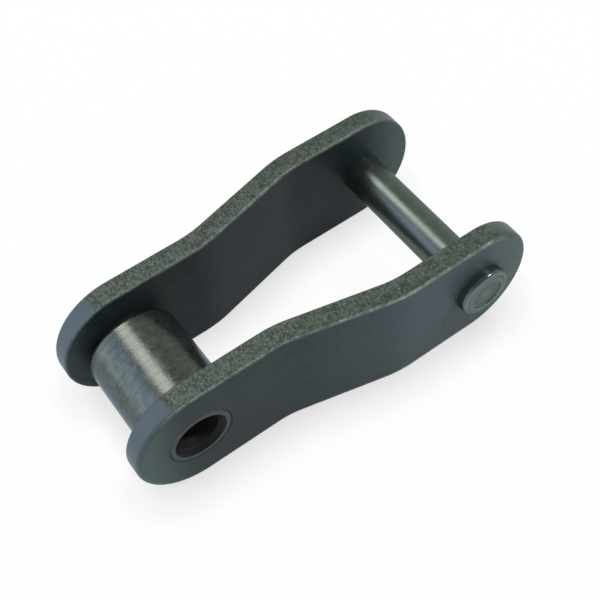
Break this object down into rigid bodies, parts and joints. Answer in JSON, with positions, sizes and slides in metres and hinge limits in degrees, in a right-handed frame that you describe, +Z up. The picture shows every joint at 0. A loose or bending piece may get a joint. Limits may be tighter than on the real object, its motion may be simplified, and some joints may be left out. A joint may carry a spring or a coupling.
{
  "type": "offset chain link",
  "caption": "Offset roller chain link: cranked side plates hold a bush with a turning roller at the narrow end and a headed pin with a cotter at the wide end.",
  "frame": {"origin": "centre of the bush's bore, halfway between its ends", "axes": "+X from the bush to the pin, along the chain; +Y along the bush and pin axes, from the pin's head to its cotter; +Z up, square to both"},
  "size_m": [0.0539, 0.0309, 0.0168],
  "materials": {
    "plate_steel": "dark oiled mill finish, mottled on the blanked edges",
    "bush_steel": "dark oiled, turned end faces",
    "roller_steel": "dark oiled satin",
    "pin_steel": "dark oiled, ground smooth",
    "cotter_steel": "plain drawn wire"
  },
  "bodies": {
    "link": {"right_link_plate": "plate_steel", "left_link_plate": "plate_steel", "bush": "bush_steel", "pin": "pin_steel", "cotter_pin": "cotter_steel"},
    "roller": {"roller": "roller_steel"}
  },
  "joints": [
    {"name": "roller_spin", "type": "hinge", "parent": "link", "child": "roller", "pos_m": [0, 0, 0], "axis": [0, 1, 0], "continuous": true}
  ]
}
